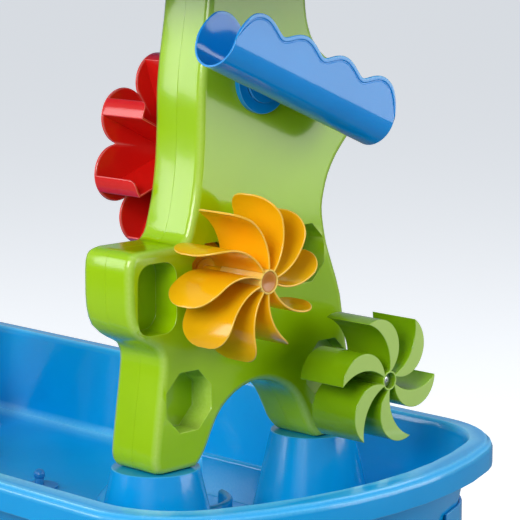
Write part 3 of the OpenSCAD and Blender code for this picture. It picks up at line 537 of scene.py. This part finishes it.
ends = [0.0, 0.0005, 0.002, 0.005, 0.01, 0.016, 0.024, 0.034, 0.046, 0.058, END_SHARE]
shares = (ends + [END_SHARE + (1 - 2 * END_SHARE) * k / WAVE_STEPS for k in range(1, WAVE_STEPS)]
          + [1 - e for e in reversed(ends)])
trough = lifted(solid_mesh("trough", [trough_ring(s) for s in shares]), (0, trough_y, 0))
neck = turned_mesh("neck", [(0.0, trough_y + CHUTE_R - 0.003), (0.0165, trough_y + CHUTE_R - 0.003),
                            (0.015, trough_y + CHUTE_R), (0.015, panel_y - 0.0094),
                            (0.024, panel_y - 0.0091), (0.024, panel_y - 0.0068),
                            (0.0236, panel_y - 0.0064), (0.007, panel_y - 0.0064),
                            (0.007, panel_y + 0.0044), (0.0, panel_y + 0.0044)])
stop_pin = lifted(turned_mesh("stop_pin", [(0.0, panel_y - 0.0068), (0.0025, panel_y - 0.0068),
                                           (0.0025, panel_y - 0.0038), (0.0021, panel_y - 0.0034),
                                           (0.0, panel_y - 0.0034)], 24), (0, 0, -0.019))
chute_skin = lifted(joined("chute", [trough, neck, stop_pin]), (pivot[0], 0, pivot[2]), tilt)
placed(moulded("chute", chute_skin, 0.3, blue_chute), "chute")

# The chute's mount is a round plate with a raised rim and a sunk ring, moulded in one with an
# octagonal plug that holds by friction in the tower's top socket.
dressed("chute_mount", 0.6, blue_chute)

# The orange wheel is moulded in amber polypropylene: ten thin curved vanes with rounded tips round a hub.
# Light passes a little through the vanes, and their edges are painted paler, partly as wear and partly as
# a painted highlight.
ring_tree, ring_sockets = node_group("round_the_hub", {
    "Geometry": "Geometry", "Count": "Int", "Phase": "Float", "Hub": "Vector", "Material": "Material"})
grab = add(ring_tree, "NodeGroupInput")
spots = add(ring_tree, "GeometryNodePoints", links={"Count": (grab, "Count"), "Position": (grab, "Hub")})
order = add(ring_tree, "GeometryNodeInputIndex")
share = add(ring_tree, "ShaderNodeMath", {"operation": "DIVIDE"},
            links={0: (order, "Index"), 1: (grab, "Count")})
round_a = add(ring_tree, "ShaderNodeMath", {"operation": "MULTIPLY_ADD"},
              links={0: (share, "Value"), 2: (grab, "Phase")})
round_a.inputs[1].default_value = 2 * math.pi
lean = add(ring_tree, "ShaderNodeCombineXYZ", links={"Y": (round_a, "Value")})
spread = add(ring_tree, "GeometryNodeInstanceOnPoints",
             links={"Points": (spots, "Points"), "Instance": (grab, "Geometry"),
                    "Rotation": (lean, "Vector")})
real = add(ring_tree, "GeometryNodeRealizeInstances", links={"Geometry": (spread, "Instances")})
coat = add(ring_tree, "GeometryNodeSetMaterial",
           links={"Geometry": (real, "Geometry"), "Material": (grab, "Material")})
ring_tree.links.new(coat.outputs["Geometry"], add(ring_tree, "NodeGroupOutput").inputs["Geometry"])


def grid_mesh(name, rows):
    """An open sheet through rows of points."""
    n = len(rows[0])
    mesh = bpy.data.meshes.new(name)
    mesh.from_pydata([p for row in rows for p in row], [],
                     [(k * n + i, k * n + i + 1, (k + 1) * n + i + 1, (k + 1) * n + i)
                      for k in range(len(rows) - 1) for i in range(n - 1)])
    mesh.shade_smooth()
    return mesh


def wheel(name, blade, count, phase, hub_parts, material):
    """Instances a finished blade round the hub and joins it with the hub's parts."""
    centre = joint_at[body_of[name]]
    ring = grown(name, blade.data, ring_tree, ring_sockets, {
        "Count": count, "Phase": phase, "Hub": (centre[0], 0.0, centre[2]), "Material": material})
    for part in hub_parts:
        lifted(part, (centre[0], 0.0, centre[2]))
        mark_edges(part)
    whole = joined(name, [ring.data] + hub_parts)
    whole.materials.clear()
    whole.materials.append(material)
    bpy.data.objects.remove(ring)
    bpy.data.objects.remove(blade)
    piece = bpy.data.objects.new(name + "_skin", whole)
    bpy.context.scene.collection.objects.link(piece)
    return placed(piece, name)


amber = moulded_plastic("amber_polypropylene", "#ffc012", "#fab408", "#ffee98", 0.14, glow=0.3)
VANE_BEND_R, VANE_BEND_A, VANE_LEAN = 0.0545, math.radians(83.4), math.radians(4.9)
VANE_COUNT, VANE_PHASE, VANE_ROOT = 10, -math.radians(53.5), 0.0108
FRONT_TIP, FRONT_CUT = 0.34, 0.45     # share of the bend that the front corner takes, and of the depth
REAR_TIP, REAR_CUT = 0.28, 0.38       # the same for the back corner
wheel_low, wheel_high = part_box("orange_wheel")
vane_front, vane_back = wheel_low[1], wheel_high[1]


def vane_point(s, v):
    """A point of the vane's middle face: s along its bend, v from its back edge to its front."""
    front, rear = 1.0, 0.0
    if 1 - s < FRONT_TIP:
        front = 1 - FRONT_CUT * (1 - math.sqrt(max(0.0, 1 - (1 - (1 - s) / FRONT_TIP) ** 2)))
    if 1 - s < REAR_TIP:
        rear = REAR_CUT * (1 - math.sqrt(max(0.0, 1 - (1 - (1 - s) / REAR_TIP) ** 2)))
    depth = rear + v * (front - rear)
    bend = VANE_BEND_A * s
    x, z = VANE_BEND_R * math.sin(bend), VANE_BEND_R * (1 - math.cos(bend))
    c, t = math.cos(VANE_LEAN), math.sin(VANE_LEAN)
    return (VANE_ROOT + x * c + z * t, vane_back + depth * (vane_front - vane_back), -x * t + z * c)


steps = ([k / 24 * (1 - REAR_TIP) for k in range(24)]
         + [1 - REAR_TIP * math.cos(math.pi / 2 * k / 18) for k in range(19)])
vane_sheet = grid_mesh("vane", [[vane_point(min(s, 0.9995), k / 14) for k in range(15)] for s in steps])
vane = moulded("vane", vane_sheet, 0.85, amber, wall_mm=2.0)
HUB_R, HUB_RIM = 0.0123, 0.002
hub_front, hub_end = vane_front, vane_front + 0.058
amber_hub = turned_mesh("hub", [(0.0, hub_front + 0.009), (HUB_R - HUB_RIM, hub_front + 0.009),
                                (HUB_R - HUB_RIM, hub_front + 0.0006),
                                (HUB_R - HUB_RIM + 0.0005, hub_front), (HUB_R - 0.0008, hub_front),
                                (HUB_R, hub_front + 0.0008), (HUB_R, hub_end - 0.0008),
                                (HUB_R - 0.0008, hub_end), (HUB_R - HUB_RIM, hub_end),
                                (HUB_R - HUB_RIM, hub_front + 0.012), (0.0, hub_front + 0.012)])
wheel("orange_wheel", vane, VANE_COUNT, VANE_PHASE, [amber_hub], amber)

# The orange mount is a plug with an axle, moulded in the wheel's amber. The plug holds by friction
# in the tower's middle socket, and the wheel turns on the axle behind a screw and washer.
dressed("orange_mount", 0.4, amber)

# The orange hub's cap has a shallow dish and closes the hub by a press fit. It is drawn in a darker amber
# than the hub round it.
cap_low, cap_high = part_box("orange_hub_cap")


def cap_mesh(low, high, front_y, back_y):
    r = (high[0] - low[0]) / 2
    out = 1 if back_y > front_y else -1
    return turned_mesh("cap", [(0.0, front_y + out * 0.0007), (r * 0.45, front_y + out * 0.0006),
                               (r * 0.62, front_y + out * 0.0001), (r - 0.0006, front_y),
                               (r, front_y + out * 0.0005), (r, back_y), (0.0, back_y)], 48)


def cap(name, low, high, front_y, back_y, material):
    mesh = lifted(cap_mesh(low, high, front_y, back_y),
                  ((low[0] + high[0]) / 2, 0.0, (low[2] + high[2]) / 2))
    mark_edges(mesh)
    mesh.materials.append(material)
    piece = bpy.data.objects.new(name + "_skin", mesh)
    bpy.context.scene.collection.objects.link(piece)
    return placed(piece, name)


deep_amber = moulded_plastic("deep_amber_cap", "#c87806", "#bc6e04", "#e8a840", 0.2)
cap("orange_hub_cap", cap_low, cap_high, cap_low[1], cap_high[1], deep_amber)

# The green wheel and its mount are moulded in a deeper green than the tower: crescent buckets round an
# open hub, on a plug with an axle like the orange one. Faces turned to the front get a paler tone as
# painted light, which makes each crescent stand out against the curved backs.
bucket_green = moulded_plastic("green_polypropylene_wheel", "#84b00c", "#78a408", "#bcdc5c", 0.18)
tree = bucket_green.node_tree
turn = add(tree, "ShaderNodeTexCoord")
across = add(tree, "ShaderNodeSeparateXYZ", links={"Vector": (turn, "Normal")})
# Faces turned to -Y are painted paler: painted light, not a tone of the plastic.
flat_face = add(tree, "ShaderNodeMath", {"operation": "COMPARE"}, links={0: (across, "Y")})
flat_face.inputs[1].default_value = -1.0      # facing -Y
flat_face.inputs[2].default_value = 0.04      # or nearly
painted_light_share = add(tree, "ShaderNodeMath", {"operation": "MULTIPLY"}, links={0: (flat_face, "Value")})
painted_light_share.inputs[1].default_value = 0.75        # share of the painted light
under = tree.nodes["Principled BSDF"].inputs["Base Color"].links[0].from_socket
painted_front_light = add(tree, "ShaderNodeMix", {"data_type": "RGBA"}, links={0: (painted_light_share, "Value")})
tree.links.new(under, painted_front_light.inputs[6])
painted_front_light.inputs[7].default_value = linear("#c4e078")
tree.links.new(painted_front_light.outputs[2], tree.nodes["Principled BSDF"].inputs["Base Color"])
for name in ("green_wheel", "green_mount"):
    dressed(name, 0.5, bucket_green)

# The red wheel is moulded with a lobed disc at its outer end and eight curled blades that stand
# on it, so each lobe makes a cup. It is gloss red polypropylene, darker where the cups are deep.
red = moulded_plastic("red_polypropylene", "#ea201a", "#da1812", "#f8a098", 0.14)
red_low, red_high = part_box("red_wheel")
near_y, disc_y = red_low[1], red_high[1]
RED_R, RED_HUB_R, LOBES, RED_PHASE = 0.104, 0.013, 8, math.radians(12.5)
LOBE_R, LIP_C = RED_R * 0.278, RED_R * 0.721      # each lobe's radius, and how far out its centre is
LIP_R = LOBE_R - 0.0011                           # the middle of the lip's wall, inside the lobe
LIP_FROM, LIP_TO = math.radians(24), math.radians(-12)


def blade_line():
    """The blade's middle line from the hub out to the tip, and the lip that curls from it."""
    tip = (LIP_C + LIP_R * math.cos(LIP_FROM), LIP_R * math.sin(LIP_FROM))
    root = math.atan2(tip[1], tip[0])
    start = ((RED_HUB_R - 0.0006) * math.cos(root), (RED_HUB_R - 0.0006) * math.sin(root))
    line = [tuple(a + (b - a) * k / 16 for a, b in zip(start, tip)) for k in range(17)]
    turns = [LIP_FROM + (LIP_TO - LIP_FROM) * k / 12 for k in range(1, 13)]
    lip = [(LIP_C + LIP_R * math.cos(a), LIP_R * math.sin(a)) for a in turns]
    return line, lip


straight, lip = blade_line()
rows = []
for k, (x, z) in enumerate(straight + lip):
    past = max(0.0, (k - len(straight) + 1) / len(lip))
    corner = 0.008 * (1 - math.sqrt(max(0.0, 1 - max(0.0, (past - 0.45) / 0.55) ** 2)))
    rows.append([(x, near_y + corner + (disc_y - 0.0015 - near_y - corner) * j / 12, z)
                 for j in range(13)])
blade = moulded("blade", grid_mesh("blade", rows), 0.8, red, wall_mm=2.2)


def lobe_radius(angle):
    """The disc's radius at an angle: out to the lobes' arcs, and not in past the notches between."""
    turn = (angle - RED_PHASE) % (2 * math.pi / LOBES)
    turn = min(turn, 2 * math.pi / LOBES - turn)
    return max(RED_R * 0.69, LIP_C * math.cos(turn)
               + math.sqrt(max(0.0, LOBE_R ** 2 - (LIP_C * math.sin(turn)) ** 2)))


around = [2 * math.pi * k / 384 for k in range(384)]
rings = []
for share, sunk in ((0.0, 0.003), (0.5, 0.003), (0.97, 0.003), (0.992, 0.0027), (1.0, 0.0018),
                    (1.0, 0.0009), (0.993, 0.0002), (0.975, 0.0), (0.93, 0.0), (0.92, 0.0006),
                    (0.5, 0.0006), (0.0, 0.0006)):
    reaches = [RED_HUB_R - 0.001 + share * (lobe_radius(a) - RED_HUB_R + 0.001) for a in around]
    rings.append([(r * math.cos(a), disc_y - sunk, r * math.sin(a)) for r, a in zip(reaches, around)])
disc = solid_mesh("disc", rings, closed_ends=False)
red_hub = turned_mesh("hub", [(0.0, disc_y - 0.009), (RED_HUB_R - HUB_RIM, disc_y - 0.009),
                              (RED_HUB_R - HUB_RIM, disc_y - 0.0006),
                              (RED_HUB_R - HUB_RIM + 0.0005, disc_y),
                              (RED_HUB_R - 0.0006, disc_y), (RED_HUB_R, disc_y - 0.0006),
                              (RED_HUB_R, near_y + 0.0008), (RED_HUB_R - 0.0008, near_y),
                              (RED_HUB_R - HUB_RIM, near_y), (RED_HUB_R - HUB_RIM, disc_y - 0.012),
                              (0.0, disc_y - 0.012)])
wheel("red_wheel", blade, LOBES, -RED_PHASE, [disc, red_hub], red)

# The red wheel's mount is a plug with an axle in the tower's inner socket, and its hub's cap is
# pressed in from outside. Both are moulded in the wheel's red.
dressed("red_mount", 0.4, red)
cap_low, cap_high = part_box("red_hub_cap")
cap("red_hub_cap", cap_low, cap_high, cap_high[1], cap_low[1], red)

# Stage: a plain pale floor that keeps the object's shadow, a pale sky and soft lamps.
floor_mesh = bpy.data.meshes.new("floor")
reach = 30.0
floor_mesh.from_pydata([(-reach, -reach, 0), (reach, -reach, 0), (reach, reach, 0), (-reach, reach, 0)],
                       [], [(0, 1, 2, 3)])
floor = bpy.data.objects.new("floor", floor_mesh)
bpy.context.scene.collection.objects.link(floor)
floor_material = bpy.data.materials.new("pale_floor")
floor_material.use_nodes = True
floor_tree = floor_material.node_tree
floor_look = floor_tree.nodes["Principled BSDF"]
floor_look.inputs["Roughness"].default_value = 0.8
floor_look.inputs["Specular IOR Level"].default_value = 0.0
seen = add(floor_tree, "ShaderNodeLightPath")
floor_tone = add(floor_tree, "ShaderNodeMix", {"data_type": "RGBA"}, links={0: (seen, "Is Camera Ray")})
floor_tone.inputs[6].default_value = linear("#8a8d90")
floor_tone.inputs[7].default_value = linear("#f6f7f8")
floor_look.inputs["Emission Color"].default_value = linear("#f6f7f8")
own_light = add(floor_tree, "ShaderNodeMath", {"operation": "MULTIPLY"},
                links={0: (seen, "Is Camera Ray")})
own_light.inputs[1].default_value = 0.42      # lifts the floor to the backdrop's tone
floor_tree.links.new(own_light.outputs["Value"], floor_look.inputs["Emission Strength"])
floor_tree.links.new(floor_tone.outputs[2], floor_look.inputs["Base Color"])
floor_mesh.materials.append(floor_material)

world = bpy.data.worlds.new("studio")
bpy.context.scene.world = world
world.use_nodes = True
sky = world.node_tree
seen = add(sky, "ShaderNodeLightPath")
sky_tone = add(sky, "ShaderNodeMix", {"data_type": "RGBA"}, links={0: (seen, "Is Camera Ray")})
sky_tone.inputs[6].default_value = linear("#989ea6")
sky_tone.inputs[7].default_value = linear("#f6f7f8")
sky.links.new(sky_tone.outputs[2], sky.nodes["Background"].inputs["Color"])
sky.nodes["Background"].inputs["Strength"].default_value = 1.0


def lamp(name, place, aim, size, power):
    data = bpy.data.lights.new(name, "AREA")
    data.shape = "SQUARE"
    data.size = size
    data.energy = power
    light = bpy.data.objects.new(name, data)
    bpy.context.scene.collection.objects.link(light)
    light.location = place
    light.rotation_euler = (Vector(aim) - Vector(place)).to_track_quat("-Z", "Y").to_euler()


# Place, aim, edge length and watts. The front lamp's lower edge ends the pale reflection on the
# tower's panel and the chute's wall, and the side lamp's lower edge ends it on the tower's side.
lamp("key", (-2.4, -1.2, 1.7), (0, panel_y, 0.6), 1.3, 50)
lamp("front", (2.0, -2.5, 1.27), (0, panel_y, 0.6), 2.3, 44)
lamp("side", (-2.2, 1.5, 1.37), (0, panel_y, 0.6), 1.4, 23)
lamp("top", (0.2, -0.5, 3.2), (0, panel_y, 0.5), 1.0, 34)

# The camera stands at the front left corner, a little above the wheels.
azimuth, elevation = math.radians(-45.0), math.radians(9.5)
aim = (0.0, panel_y, 0.578)
stand_off = 2.34
camera_data = bpy.data.cameras.new("camera")
camera_data.sensor_width = 36.0
camera_data.lens = 162.0
camera_data.clip_start = 0.05
camera_data.clip_end = 100.0
camera = bpy.data.objects.new("camera", camera_data)
bpy.context.scene.collection.objects.link(camera)
back = (math.sin(azimuth) * math.cos(elevation), -math.cos(azimuth) * math.cos(elevation),
        math.sin(elevation))
camera.location = [aim[i] + stand_off * back[i] for i in range(3)]
camera.rotation_euler = (math.pi / 2 - elevation, 0.0, azimuth)
bpy.context.scene.camera = camera
bpy.context.scene.view_settings.view_transform = "Standard"
